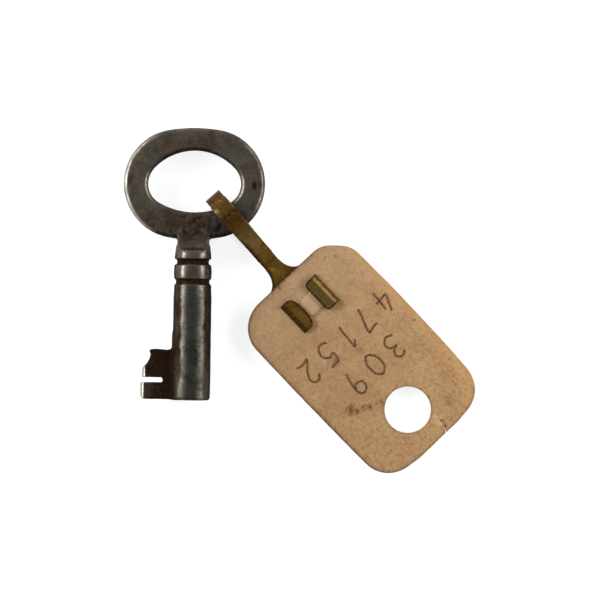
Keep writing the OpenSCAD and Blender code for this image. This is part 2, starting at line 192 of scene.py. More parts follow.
def ironMaterial(finish):
    material, add = startMaterial("worn_malleable_iron")
    place = add("ShaderNodeTexCoord", out="Object")
    rust, face, rub, soot_and_shade, painted_highlight_band, painted_edge_highlight = (add("ShaderNodeAttribute", out="Fac", attribute_name=name)
                                          for name in ("rust", "face", "rub", "soot_and_shade", "painted_highlight_band", "painted_edge_highlight"))
    stretched = add("ShaderNodeMapping", {"Vector": place, "Scale": finish["aroundShank"]})
    patches, grain, pits, specks, cloud, turning = (
        add("ShaderNodeTexNoise", grainInputs(stretched if name == "turning" else place, *noise), out="Fac")
        for name, noise in finish["noises"].items())
    marks = add("ShaderNodeMapRange", [turning, 0.52, 0.7, 0.0, 0.5])       # fine marks round the shank
    turned = add("ShaderNodeMath", [marks, add("ShaderNodeMapRange", [face, 0.0, 1.0, 1.0, 0.35])], **times)
    browned = add("ShaderNodeMath", [add("ShaderNodeMapRange", [patches, 0.47, 0.68]),
                                     add("ShaderNodeMapRange", [face, 0.0, 1.0, 0.2, 0.5])], **times)
    browned = add("ShaderNodeMath", [browned, add("ShaderNodeMapRange", [rub, 0.0, 1.0, 1.0, 0.2])], **times)
    browned = add("ShaderNodeMath", [browned, rust], **plus)
    soot_and_shade_share = add("ShaderNodeMath", [soot_and_shade, add("ShaderNodeMapRange", [grain, 0.25, 0.6, 0.75, 1.0])], **times)
    soot_and_shade_share = add("ShaderNodeMath", [soot_and_shade_share, add("ShaderNodeMapRange", [specks, 0.64, 0.74, 0.0, 0.6])], **larger)
    colour = fromHex(finish["dark"])
    # the rubbed colour also paints the highlight bands on the barrel's top
    for share, over in ((face, "bright"), (add("ShaderNodeMath", [rub, painted_highlight_band], **larger), "rubbed"),
                        (add("ShaderNodeMapRange", [cloud, 0.48, 0.7, 0.0, 0.6]), "deep"), (turned, "deep"),
                        (add("ShaderNodeMapRange", [grain, 0.42, 0.66, 0.0, 0.6]), "dark"), (painted_edge_highlight, "painted_edge_highlight"),
                        (browned, "brown"), (soot_and_shade_share, "deep")):
        colour = add("ShaderNodeMix", {0: share, 6: colour, 7: fromHex(finish[over])}, out=2, data_type="RGBA")
    covered = add("ShaderNodeMath", [browned, soot_and_shade_share], **larger)
    roughness = add("ShaderNodeMapRange", [grain, 0.25, 0.8, 0.31, 0.47])
    for way, *limits in ((plus, covered, 0.1, 1.0, 0.0, 0.42), (plus, turned, 0.0, 1.0, 0.0, 0.1),
                         (plus, face, 0.0, 0.6, 0.04, 0.0), (plus, painted_highlight_band, 0.0, 1.0, 0.0, 0.09),
                         (plus, painted_edge_highlight, 0.0, 1.0, 0.0, 0.05), (less, rub, 0.0, 1.0, 0.0, 0.08)):
        roughness = add("ShaderNodeMath", [roughness, add("ShaderNodeMapRange", limits)], **way)
    depth = add("ShaderNodeMapRange", [rub, 0.0, 0.8, 0.5, 0.12])
    coarse = add("ShaderNodeBump", {"Strength": depth, "Distance": finish["grainDepth"] * mm, "Height": grain})
    fine = add("ShaderNodeBump", {"Strength": depth, "Distance": finish["pitDepth"] * mm, "Height": pits,
                                  "Normal": coarse})
    metallic = add("ShaderNodeMapRange", [covered, 0.0, 1.0, 1.0, 0.2])
    surface = add("ShaderNodeBsdfPrincipled", {"Base Color": colour, "Metallic": metallic, "Roughness": roughness,
                                               "Normal": fine, "Specular IOR Level": finish["gloss"]})
    add("ShaderNodeOutputMaterial", [surface])
    return material


# Sheet brass, blanked and bent, then tarnished olive brown, with painted yellow highlights and painted shade
brassFinish = dict(
    metal="#92712f", tarnish="#644a1d", dark="#2e1606", bright="#dcc294", gold="#c0933a", ruddy="#86562a",
    olive="#74683f",
    noises=((1.3, 4.0, 0.6, 0.3), (0.24, 3.0, 0.6, 0.0), (0.5, 3.0, 0.65, 0.5), (0.4, 2.0, 0.6, 0.3)),
    grainDepth=0.03, gloss=0.08,
)


def brassMaterial(finish):
    material, add = startMaterial("tarnished_sheet_brass")
    place = add("ShaderNodeTexCoord", out="Object")
    rim, soot_and_shade, dull = (add("ShaderNodeAttribute", out="Fac", attribute_name=name) for name in ("rim", "soot_and_shade", "dull"))
    patches, grain, flecks, glints = (add("ShaderNodeTexNoise", grainInputs(place, *noise), out="Fac")
                                      for noise in finish["noises"])
    # rim holds painted highlights, laid on in the bright colour with less roughness
    worn = add("ShaderNodeMath", [rim, add("ShaderNodeMapRange", [grain, 0.25, 0.5, 0.3, 1.0])], **times)
    soot_and_shade_share = add("ShaderNodeMath", [soot_and_shade, add("ShaderNodeMapRange", [flecks, 0.3, 0.55, 0.7, 1.0])], **times)
    colour = fromHex(finish["metal"])
    for share, over in ((add("ShaderNodeMapRange", [patches, 0.4, 0.66]), "tarnish"),
                        (add("ShaderNodeMapRange", [flecks, 0.52, 0.7, 0.0, 0.6]), "ruddy"),
                        (add("ShaderNodeMapRange", [grain, 0.45, 0.8, 0.0, 0.5]), "tarnish"),
                        (dull, "olive"), (worn, "bright"),
                        (add("ShaderNodeMapRange", [glints, 0.55, 0.7, 0.0, 0.55]), "gold"), (soot_and_shade_share, "dark")):
        colour = add("ShaderNodeMix", {0: share, 6: colour, 7: fromHex(finish[over])}, out=2, data_type="RGBA")
    roughness = add("ShaderNodeMath", [add("ShaderNodeMapRange", [patches, 0.3, 0.7, 0.32, 0.46]),
                                       add("ShaderNodeMapRange", [rim, 0.0, 1.0, 0.0, 0.1])], **less)
    bump = add("ShaderNodeBump", {"Strength": 0.5, "Distance": finish["grainDepth"] * mm, "Height": grain})
    metallic = add("ShaderNodeMapRange", [soot_and_shade_share, 0.0, 1.0, 1.0, 0.3])
    surface = add("ShaderNodeBsdfPrincipled", {"Base Color": colour, "Metallic": metallic, "Roughness": roughness,
                                               "Normal": bump, "Specular IOR Level": finish["gloss"]})
    add("ShaderNodeOutputMaterial", [surface])
    return material


# Buff card, pressed from wood pulp and yellowed: matt, faintly fibrous, browner towards its edges, with painted shade
# by the patch and the ears
cardFinish = dict(
    light="#a7855e", mid="#98744e", dark="#755436", rim="#4a3220", warm="#d09d66", dusty="#988365",
    far="#b08a5c", stain="#53300f", clean="#cbb08a",
    noises=((4.0, 4.0, 0.6, 0.6), (0.75, 3.0, 0.7, 0.3), (0.2, 2.0, 0.6, 1.2)),
    fleckDepth=0.06, fibreDepth=0.03, roughness=0.85, gloss=0.25,
    spots=((24.3, -7.3, 1.35, 1.0), (25.2, -6.5, 0.8, 0.9), (25.4, -5.3, 0.7, 0.8), (26.2, -4.6, 0.8, 0.9),
           (26.5, -3.4, 0.5, 0.6), (26.8, -2.5, 0.6, 0.6), (16.3, -3.6, 1.5, 0.45), (17.6, 1.0, 1.2, 0.35),
           (31.3, 9.1, 2.0, 0.25), (34.6, 6.2, 1.6, 0.35), (3.2, 8.9, 0.5, 0.8), (0.5, -1.8, 0.6, 0.7),
           (37.3, 2.6, 0.55, 0.9), (36.7, 2.75, 0.45, 0.8), (36.2, 2.8, 0.3, 0.6), (20.5, 11.2, 0.45, 0.8),
           (29.5, 10.9, 0.4, 0.7), (35.2, 8.4, 0.5, 0.5), (2.2, 7.4, 0.35, 0.7)),    # place, reach and strength
)


def cardMaterial(finish):
    material, add = startMaterial("aged_buff_card")
    place = add("ShaderNodeUVMap", uv_map="cardPlace")      # a unit is 1 m, as on the card
    edge, warm, clean = (add("ShaderNodeAttribute", out="Fac", attribute_name=name)
                         for name in ("edge", "warm", "clean"))
    cloud, fleck, fibre = (add("ShaderNodeTexNoise", grainInputs(place, *noise), out="Fac")
                           for noise in finish["noises"])
    along = add("ShaderNodeSeparateXYZ", [place])
    flecked = add("ShaderNodeMath", [add("ShaderNodeMapRange", [fleck, 0.48, 0.68, 0.0, 0.66]),
                                     add("ShaderNodeMapRange", [along, 8 * mm, 30 * mm, 0.5, 1.0])], **times)
    # the edge attribute darkens the worn edges and also paints shade by the patch and between the ears
    worn = add("ShaderNodeMath", [edge, add("ShaderNodeMapRange", [fleck, 0.3, 0.55, 0.75, 1.1])], **times)
    layers = [(add("ShaderNodeMapRange", [cloud, 0.35, 0.65]), "mid"),
              (add("ShaderNodeMapRange", [along, 13 * mm, 7 * mm, 0.0, 0.35]), "dusty"),
              (add("ShaderNodeMapRange", [along, 23 * mm, 29 * mm, 0.0, 0.4]), "far"), (flecked, "dark"),
              (add("ShaderNodeMapRange", [fibre, 0.48, 0.72, 0.0, 0.45]), "dark"),
              (add("ShaderNodeMapRange", [fibre, 0.46, 0.3, 0.0, 0.35]), "clean"), (warm, "warm"), (worn, "rim")]
    ragged = add("ShaderNodeMath", [add("ShaderNodeMapRange", [fleck, 0.36, 0.56, 0.0, 0.75]), 0.25], **plus)
    for x, y, reach, strength in finish["spots"]:
        away = add("ShaderNodeVectorMath", [place, (x * mm, y * mm, 0)], out="Value", operation="DISTANCE")
        near = add("ShaderNodeMapRange", [away, reach * mm, 0.2 * reach * mm, 0.0, strength])
        layers.append((add("ShaderNodeMath", [near, ragged], **times), "stain"))
    colour = fromHex(finish["light"])
    for share, over in layers + [(clean, "clean")]:
        colour = add("ShaderNodeMix", {0: share, 6: colour, 7: fromHex(finish[over])}, out=2, data_type="RGBA")
    soft = add("ShaderNodeBump", {"Strength": 0.5, "Distance": finish["fleckDepth"] * mm, "Height": fleck})
    fine = add("ShaderNodeBump", {"Strength": 0.5, "Distance": finish["fibreDepth"] * mm, "Height": fibre,
                                  "Normal": soft})
    surface = add("ShaderNodeBsdfPrincipled", {"Base Color": colour, "Roughness": finish["roughness"],
                                               "Normal": fine, "Specular IOR Level": finish["gloss"]})
    add("ShaderNodeOutputMaterial", [surface])
    return material


# Pencil lead rubbed on rough card: grey, with the card showing through its grain
pencilFinish = dict(lead="#46321c", faint="#7b5d3c", grain=(0.2, 2.0, 0.6), roughness=0.7, gloss=0.2)


def pencilMaterial(finish):
    material, add = startMaterial("pencil_graphite")
    place = add("ShaderNodeTexCoord", out="Object")
    grain = add("ShaderNodeTexNoise", grainInputs(place, *finish["grain"]), out="Fac")
    colour = add("ShaderNodeMix", {0: add("ShaderNodeMapRange", [grain, 0.4, 0.66]), 6: fromHex(finish["lead"]),
                                   7: fromHex(finish["faint"])}, out=2, data_type="RGBA")
    surface = add("ShaderNodeBsdfPrincipled", {"Base Color": colour, "Roughness": finish["roughness"],
                                               "Specular IOR Level": finish["gloss"]})
    add("ShaderNodeOutputMaterial", [surface])
    return material


iron = ironMaterial(ironFinish)
brass = brassMaterial(brassFinish)
card = cardMaterial(cardFinish)
graphite = pencilMaterial(pencilFinish)
print("materials made")


# The key. Its worn form is a distance field, in mm: the shank, the bow and the bit run into each
# other with soft roots, and the bore is taken out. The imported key's surface is remeshed and drawn
# on to it.

keyForm = dict(
    axisRadius=((0, 3.2), (5, 3.28), (17.5, 3.27), (19.0, 3.19), (24.65, 3.16), (25.2, 3.11), (25.7, 3.02),
                (26.2, 2.9), (27.0, 2.75), (27.6, 2.7), (31, 2.7)),
    grooves=((20.38, 0.5, 0.3), (23.78, 0.52, 0.42)),       # height, half width and depth
    collar=(22.08, 1.1, 0.07),
    mouthRound=0.6, domeStart=24.4, domeRadius=1.65, domeMiddle=1.6,
    tongue=(24.6, 29.2), tongueHalf=((24, 2.1), (25.5, 2.4), (26.3, 2.86), (27, 2.76), (27.6, 2.72), (31, 2.72)),
    tongueThick=((24, 1.6), (25.9, 1.48), (26.9, 1.32), (27.35, 1.2), (27.8, 1.25), (28.6, 1.2), (30, 1.15)),
    bowMiddle=(0.05, 37.2), bowLean=0.5, bowHalf=(12.14, 9.6), bowEnd=9.38,
    bowThick=1.2, bowRound=0.85, bowCrown=0.07,
    eyeMiddle=(0.08, 37.12), eyeTop=(7.92, 5.74, 4.1), eyeBottom=(7.92, 4.8, 3.6),      # half sizes, end radius
    boreRadius=1.9, boreDepth=17,
    bitThick=1.15, bitRound=0.22, lobeRound=1.0,
    bit=((0, 0.15), (-7.9, 0.17), (-8.4, 0.3), (-8.7, 0.65), (-8.8, 1.2), (-8.8, 2.85), (-8.65, 3.07),
         (-5.2, 3.09), (-4.97, 3.3), (-4.97, 3.7), (-5.2, 3.91), (-8.35, 3.91), (-8.55, 4.05), (-8.56, 5.1),
         (-8.45, 5.5), (-8.13, 5.95), (-7.72, 6.35), (-7.4, 6.87), (-7.2, 7.3), (-7.1, 7.94), (-7.32, 8.4),
         (-7.2, 8.72), (-6.3, 8.8), (-5.4, 8.78), (-4.6, 8.68), (0, 8.66)),
    rootBlend=0.75, neckBlend=0.5, leftBulge=0.16, rootSwell=0.3,
    voxel=0.155, rounds=5, longestStep=0.2, lying=3.275,
    dents=((6.0, 0.035, 3), (2.2, 0.022, 7), (0.8, 0.009, 11)), worn=0.015,     # size, height and seed
    shades=((3, 45.5, 6, 2.5, 0.35), (9.6, 40.2, 1.9, 1.9, 0.4), (0, 28.8, 8, 1.5, 0.32),
            (-7, 30.5, 3, 2.2, 0.3), (5, 30.5, 2.5, 2, 0.35)),      # dark places on the bow: middle, reach, depth
)


def ovalDistance(x, y, half, endRadius):        # to an oval of four arcs, negative inside
    a, b = half
    longRadius = ((a - endRadius) ** 2 + b * b - endRadius ** 2) / (2 * (b - endRadius))
    x, y = np.abs(x), np.abs(y)
    endX, longY = a - endRadius, longRadius - b
    onEnd = (x - endX) * longY > y * endX
    return np.where(onEnd, np.hypot(x - endX, y) - endRadius, np.hypot(x, y + longY) - longRadius)


def outlineDistance(x, y, outline):             # to a closed outline of straight sides, negative inside
    best = np.full(x.shape, 1e9)
    inside = np.zeros(x.shape, bool)
    for (ax, ay), (bx, by) in zip(outline, outline[1:] + outline[:1]):
        ex, ey, px, py = bx - ax, by - ay, x - ax, y - ay
        t = np.clip((px * ex + py * ey) / (ex * ex + ey * ey), 0, 1)
        best = np.minimum(best, np.hypot(px - t * ex, py - t * ey))
        crosses = (ay > y) != (by > y)
        with np.errstate(divide="ignore", invalid="ignore"):
            inside ^= crosses & (x < ex * (y - ay) / (by - ay) + ax)
    return np.where(inside, -best, best)


def roundedCorner(a, b, radius):                # inside both distances, with their corner rounded
    a, b = a + radius, b + radius
    return np.minimum(np.maximum(a, b), 0) + np.hypot(np.maximum(a, 0), np.maximum(b, 0)) - radius


def keyDistance(p, form):
    x, y, z = p.T
    around = np.degrees(np.arctan2(np.abs(z), -x))
    bulge = form["leftBulge"] * smoothStep(12.4, 11.2, y) * smoothStep(50, 15, around)
    bulge = bulge + form["rootSwell"] * smoothStep(4.2, 0.8, y) * bell(around, 40, 18)
    reach = np.hypot(x + 0.03 * smoothStep(26, 22, y), z) - bulge
    radius = np.interp(y, *zip(*form["axisRadius"]))
    for middle, half, depth in form["grooves"]:
        radius = radius - depth * np.clip(1 - ((y - middle) / half) ** 4, 0, 1)
    middle, half, rise = form["collar"]
    radius = radius + rise * np.clip(1 - ((y - middle) / half) ** 2, 0, 1)
    turned = roundedCorner(reach - radius, -y, form["mouthRound"])
    dome = np.hypot(np.maximum(y - form["domeStart"], 0), np.maximum(np.abs(z) - form["domeMiddle"], 0))
    turned = smoothMax(turned, dome - form["domeRadius"], 0.55)
    low, high = form["tongue"]
    across = np.maximum(np.abs(x) - np.interp(y, *zip(*form["tongueHalf"])), np.maximum(low - y, y - high))
    tongue = roundedCorner(across, np.abs(z) - np.interp(y, *zip(*form["tongueThick"])), 0.4)
    shank = smoothMin(turned, tongue, 0.9)
    lean = math.radians(form["bowLean"])
    mx, my = form["bowMiddle"]
    bx = (x - mx) * math.cos(lean) + (y - my) * math.sin(lean)
    by = (y - my) * math.cos(lean) - (x - mx) * math.sin(lean)
    outer = ovalDistance(bx, by, form["bowHalf"], form["bowEnd"])
    ex, ey = form["eyeMiddle"][0] - mx, form["eyeMiddle"][1] - my
    halves = [ovalDistance(bx - ex, by - ey, (w, h), r) for w, h, r in (form["eyeTop"], form["eyeBottom"])]
    eye = np.where(by > ey, *halves)
    rim = np.maximum(outer, -eye)
    thick = form["bowThick"] - form["bowCrown"] * (1 - np.clip(-rim / 2, 0, 1)) ** 2
    bow = roundedCorner(rim, np.abs(z) - thick, form["bowRound"])
    whole = smoothMin(shank, bow, form["neckBlend"])
    near = (x < 0) & (y < 12)
    flat = outlineDistance(x[near], y[near], list(form["bit"]))
    bit = np.full(x.shape, 5.0)
    over = np.abs(z[near]) - form["bitThick"]
    lobe = np.where(y[near] < 3.5, 8.8, np.where(y[near] < 5.9, 8.56, 9.5)) + x[near]
    lobe = np.hypot(np.maximum(form["lobeRound"] - lobe, 0), np.maximum(over + form["lobeRound"], 0))
    bit[near] = smoothMax(roundedCorner(flat, over, form["bitRound"]), lobe - form["lobeRound"], 0.1)
    whole = smoothMax(smoothMin(whole, bit, form["rootBlend"]), -y, 0.3)
    fromWall = np.hypot(x, z) - form["boreRadius"]
    bore = np.maximum(fromWall, y - form["boreDepth"] + fromWall * 0.6)       # with the drill's cone
    return smoothMax(whole, -bore, 0.2)


def fieldSlope(points, form, step=0.02):
    slope = np.zeros_like(points)
    for axis in range(3):
        side = np.zeros(3)
        side[axis] = step
        slope[:, axis] = (keyDistance(points + side, form) - keyDistance(points - side, form)) / (2 * step)
    return slope


def paintKey(piece, points, slope, form):
    x, y, z = points.T
    uneven = lumps(points, 1.1, 23)
    specks = 0.7 + 0.9 * lumps(points, 0.55, 29)
    tilt = 1 - np.abs(slope[:, 2])          # 0 on the flat faces, 1 on the walls
    shank = smoothStep(27, 25.5, y)
    rings = smoothStep(20.2, 21, y)
    across = x + 0.3 * lumps(points, 1.9, 37) + 0.15 * lumps(points, 0.6, 43)       # the ragged line of the sides, browned and darkened as painted shade
    toLeft = across + 0.15 * smoothStep(5, 1, y)
    flank = smoothStep(1.65, 2.2, -toLeft) * (1 - 0.55 * rings) + smoothStep(1.95, 2.45, across) * (1 - 0.25 * rings)
    flank = flank * shank * (0.35 + 0.65 * smoothStep(1.5, 11, y))
    barrel = smoothStep(20.2, 19.8, y) * (z > 0)        # painted highlight in two bands along the top, painted shade between them
    painted_highlight_band = bell(toLeft, -1.35, 0.4) * (1 - 0.45 * smoothStep(9, 3, y)) * (1 - 0.3 * smoothStep(13, 17, y))
    painted_highlight_band = painted_highlight_band + 1.2 * bell(across, 1.4, 0.5)
    onBit = smoothStep(-3.0, -3.6, x) * smoothStep(9.2, 8.6, y)
    root = bell(x, -3.3, 0.55) * smoothStep(9.3, 8.6, y)
    groove = sum(smoothStep(half + 0.12, half - 0.08, np.abs(y - middle - 0.05))
                 for middle, half, depth in form["grooves"])
    spot = bell(x, 10.33, 0.33) * bell(y, 37.0, 0.62)
    lit = smoothStep(-7.75, -8.05, x) * smoothStep(9, 8, y) + bell(x, -7.25, 0.4) * bell(y, 8.2, 0.7)
    lit = np.clip(lit, 0, 1) * smoothStep(0.02, 0.1, tilt)      # painted highlight on the rounded ends of the bit, in lighter, smoother metal
    toEye = ovalDistance(x, y - 37.15, (7.92, 5.3), 3.9)
    painted_edge_highlight = smoothStep(-5, -9, x) * smoothStep(2.2, 2.9, toEye) * (z > 0)      # painted highlight along the bow's left edge
    painted_edge_highlight = painted_edge_highlight * smoothStep(0.04, 0.16, tilt) * smoothStep(0.95, 0.8, tilt) * (1 - 0.5 * smoothStep(40.5, 43, y))
    greyer = smoothStep(3.3, 2.7, y) * smoothStep(-6.2, -7.6, x)        # the end of the bit's lower part
    neck = bell(y, 27.5, 1.1) * smoothStep(3, 2.2, np.abs(x))
    belowEye = specks * bell(x, 0, 7.5) * bell(y, 30, 2.6)
    aboveEye = specks * bell(x, 1, 8) * bell(y, 44.4, 1.3)
    bare = 1 - 0.9 * painted_edge_highlight

    rust = 0.8 * flank + onBit * (0.1 + 0.75 * smoothStep(-7.4, -5.2, x)) * (1 - greyer) + 0.9 * root + groove
    rust += 0.2 * neck + 0.1 * smoothStep(0.5, 2.4, x) * smoothStep(17, 6, y) * shank
    rust += 0.2 * bell(x, 1.9, 0.7) * smoothStep(21, 21.4, y) * smoothStep(25, 24, y)
    rust += 0.8 * belowEye + 0.5 * aboveEye + 2.5 * spot
    rust = rust * (0.85 + 0.7 * uneven) * (1 - 0.85 * lit) * bare

    soot_and_shade = 0.95 * groove + 0.75 * root + 0.66 * flank
    soot_and_shade += onBit * (0.6 + 0.16 * smoothStep(-8.0, -6.5, x) - 0.25 * greyer)
    # painted shade on the steep walls
    soot_and_shade += 0.85 * smoothStep(0.4, 0.72, tilt) * (1 - 0.75 * smoothStep(25, 25.4, y) * smoothStep(27.6, 27.2, y))
    soot_and_shade += 0.7 * smoothStep(0.2, 0.6, -slope[:, 1]) * smoothStep(27.5, 28.5, y)      # painted shade on the bow's downward-facing lower edges
    soot_and_shade += 0.8 * bell(np.abs(x), 3.1, 0.4) * bell(y, 28.1, 0.6) + 2.5 * spot
    soot_and_shade += 0.55 * belowEye + 0.25 * neck + 0.35 * aboveEye
    shade = 0.3 * bell(toEye, 0, 1.6) * (1 - bell(y, 37.2, 2.2))        # darker round the eye and in five places
    for cx, cy, rx, ry, most in form["shades"]:
        shade += most * bell(x, cx, rx) * bell(y, cy, ry)
    # the dark places on the bow, and painted shade along the middle of the barrel's top
    soot_and_shade += shade * smoothStep(27.5, 29, y) + 0.12 * barrel * bell(x, -0.15, 0.55)
    soot_and_shade = soot_and_shade * (0.95 + 0.35 * uneven) * (1 - 0.9 * lit) * bare

    rub = 0.66 * smoothStep(20.6, 21.2, y) * smoothStep(26.6, 25.6, y) * smoothStep(3.1, 2.5, np.abs(x)) * (
        1 - 0.4 * smoothStep(0.5, 2, x)) * (1 - 0.3 * smoothStep(24, 25, y))
    rub += 0.8 * smoothStep(0.06, 0.25, tilt) * smoothStep(0.7, 0.45, tilt) * smoothStep(27, 29, y) * (
        1 - 0.6 * smoothStep(43, 45.5, y)) + 0.9 * lit
    rub = rub * (1 - groove) * (0.8 + 0.6 * uneven)
    face = smoothStep(18.9, 21, y) * (1 - 0.3 * smoothStep(34, 29, y) * smoothStep(25, 28, y)) + lit

    for name, values in dict(rust=rust, soot_and_shade=soot_and_shade, rub=rub, painted_edge_highlight=painted_edge_highlight * (0.8 + 0.5 * uneven),
                             painted_highlight_band=painted_highlight_band * barrel * (0.9 + 0.5 * uneven)).items():
        setAttribute(piece, name, np.clip(values, 0, 1))
    setAttribute(piece, "face", face)


def makeKey(form, material):
    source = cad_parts["key"]
    piece = makePiece("worn_key", [(0, 0, 0)], [], material)
    piece.data = source.data.copy()
    piece.data.materials.clear()
    weld = piece.modifiers.new("weld", "WELD")
    weld.merge_threshold = 0.001 * mm
    remesh = piece.modifiers.new("remesh", "REMESH")
    remesh.mode, remesh.voxel_size = "VOXEL", form["voxel"] * mm
    applyModifiers(piece)
    points = pointsOf(piece.data)
    for _ in range(form["rounds"]):         # draws the surface on to the worn form
        away = keyDistance(points, form)
        slope = fieldSlope(points, form)
        size = np.maximum((slope ** 2).sum(1), 0.25)
        step = slope * (away / size)[:, None]
        length = np.linalg.norm(step, axis=1)
        points -= step * np.minimum(1, form["longestStep"] / np.maximum(length, 1e-6))[:, None]
    slope = fieldSlope(points, form)
    slope /= np.maximum(np.linalg.norm(slope, axis=1), 1e-6)[:, None]
    wear = sum(height * lumps(points, size, seed) for size, height, seed in form["dents"])
    points += slope * (wear - form["worn"])[:, None]
    piece.data.materials.append(material)
    piece.data.polygons.foreach_set("use_smooth", [True] * len(piece.data.polygons))
    points[:, 2] = np.clip(points[:, 2], -form["lying"], form["lying"])
    piece.data.vertices.foreach_set("co", (points * mm).ravel())
    paintKey(piece, points, slope, form)
    return piece


key = makeKey(keyForm, iron)
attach(key, "key")
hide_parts("key")
print("key made:", len(key.data.polygons), "faces")


# The clip is one blank of sheet brass: strap, flare, plate and two ears. Its grid is bent along two
# paths, the strap's and the ears', then given its thickness and its sheared edges.

clipForm = dict(
    thick=0.5, tableZ=-3.28, loopHeight=6.4, loopRun=3.0, tail=14.0, slopeEnd=15.8, crown=5.0, foot=3.5,
    tailGap=0.1, plate=(15.763, 21.169), turn=-48.2, tagTurn=-45.65, strapLength=18.94, strapHalf=1.5,
    widths=((0, 1.6), (7.5, 1.56), (10.5, 1.45), (30, 1.45)),
    flareRun=3.2, plateHalf=3.93, plateInset=0.1, plateLength=10, plateCorner=0.8,
    ears=(3.05, 9.25), earBend=0.3, earRoll=0.62, earGap=0.05, cardTop=-1.33, rightEar=(2.36, 18), leftEar=(2.75, 0),
    leftBulge=0.55, earCorner=0.85, core=16, side=22, step=0.2, slit=0.015, edge=0.07, bevelOver=50,
    loopDark=((0, 0.88), (0.6, 0.84), (1.5, 0.66), (2.0, 0.66), (2.7, 0.97), (4.3, 0.93), (5.3, 0.84),
              (6.8, 0.52), (8.6, 0)),        # along the strap, how dark it is made: tarnish and painted shade
)


def bentPath(start, heading, runs, along=0.0):      # runs of (length, turn); a table to look places up in
    x, y = start
    table = [(along, x, y, heading)]
    for length, turn in runs:
        count = max(1, math.ceil(abs(turn) / 3))
        for i in range(count):
            half = math.radians(turn) / count / 2
            chord = length / count * (math.sin(half) / half if turn else 1)
            heading += half
            x, y = x + chord * math.cos(heading), y + chord * math.sin(heading)
            heading += half
            along += length / count
            table.append((along, x, y, heading))
    return np.array(table).T


def lookUp(table, along):
    return [np.interp(along, table[0], row) for row in table[1:]]


def strapPath(form):
    half = form["thick"] / 2
    loop = form["loopHeight"] / 2
    topZ = form["tableZ"] + form["loopHeight"] - half
    lowZ = form["tableZ"] + form["thick"] + form["tailGap"] + half
    crownX, crownZ = loop + form["loopRun"], topZ - form["crown"]
    footX, footZ = form["slopeEnd"], lowZ + form["foot"]
    both = form["crown"] + form["foot"]
    slope = math.sqrt((footX - crownX) ** 2 + (footZ - crownZ) ** 2 - both ** 2)
    angle = math.atan2(both, slope) - math.atan2(footZ - crownZ, footX - crownX)
    turn = math.degrees(angle)
    rest = form["strapLength"] + form["plateInset"] + form["plateLength"] - footX
    runs = [(form["tail"] - loop, 0), (math.pi * (loop - half), -180), (form["loopRun"], 0),
            (form["crown"] * angle, -turn), (slope, 0), (form["foot"] * angle, turn), (rest, 0)]
    table = bentPath((form["tail"], form["tableZ"] + half), math.pi, runs)
    return table, lowZ


def earPath(form, reach, curl, lowZ):
    half = form["thick"] / 2
    foot, roll = form["earBend"] + half, form["earRoll"] + half
    flat = (reach - roll - half) / math.cos(math.radians(curl))
    drop = flat * math.sin(math.radians(curl)) + roll * (1 - math.cos(math.radians(curl)))
    topZ = form["cardTop"] + form["earGap"] + half + drop       # of the sheet's middle
    up = topZ - roll - lowZ - foot
    runs = [(foot * math.pi / 2, 90), (up, 0), (roll * math.radians(90 + curl), 90 + curl), (flat, 0)]
    return bentPath((form["plateHalf"] - foot - half, lowZ), 0.0, runs)


